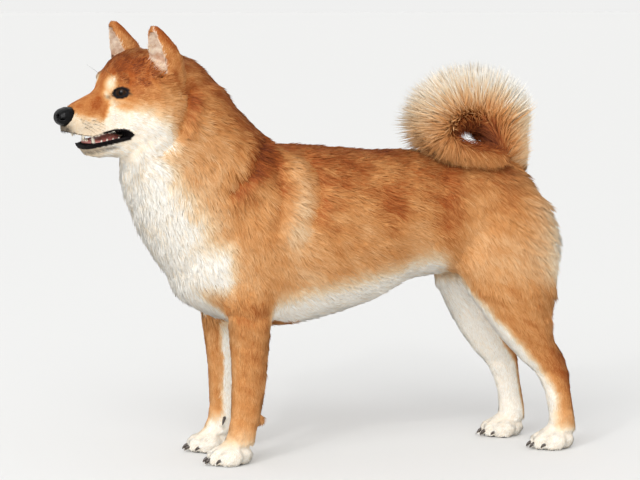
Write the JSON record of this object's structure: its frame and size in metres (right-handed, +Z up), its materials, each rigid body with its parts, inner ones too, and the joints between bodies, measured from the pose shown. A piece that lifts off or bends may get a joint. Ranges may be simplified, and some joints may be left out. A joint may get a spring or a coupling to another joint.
{
  "type": "shiba inu dog",
  "caption": "Small spitz dog standing four-square in profile, with pricked ears, open mouth and a tail curled over its back",
  "frame": {"origin": "middle of the outline on the floor under the feet", "axes": "head towards -X and tail towards +X, the dog's left side towards -Y, +Z up"},
  "size_m": [0.6884, 0.1812, 0.5618],
  "materials": {
    "red_coat": "short dense red coat",
    "cream_coat": "short pale cream coat",
    "black_skin": "damp black nose leather",
    "eye": "wet dark brown eye",
    "tongue": "moist pink skin"
  },
  "bodies": {
    "root": {"ear_left": "red_coat", "ear_right": "red_coat", "eye_left": "eye", "eye_right": "eye", "foreleg_left_forearm": "red_coat", "foreleg_left_pastern": "red_coat", "foreleg_right_forearm": "red_coat", "foreleg_right_pastern": "red_coat", "forepaw_left": "cream_coat", "forepaw_right": "cream_coat", "head": "red_coat", "hindleg_left_hock": "red_coat", "hindleg_left_thigh": "red_coat", "hindleg_right_hock": "red_coat", "hindleg_right_thigh": "red_coat", "hindpaw_left": "cream_coat", "hindpaw_right": "cream_coat", "lower_jaw": "cream_coat", "neck": "red_coat", "nose": "black_skin", "tail_arch": "red_coat", "tail_root": "red_coat", "tail_tip": "red_coat", "tongue": "tongue", "torso": "red_coat"}
  },
  "joints": []
}
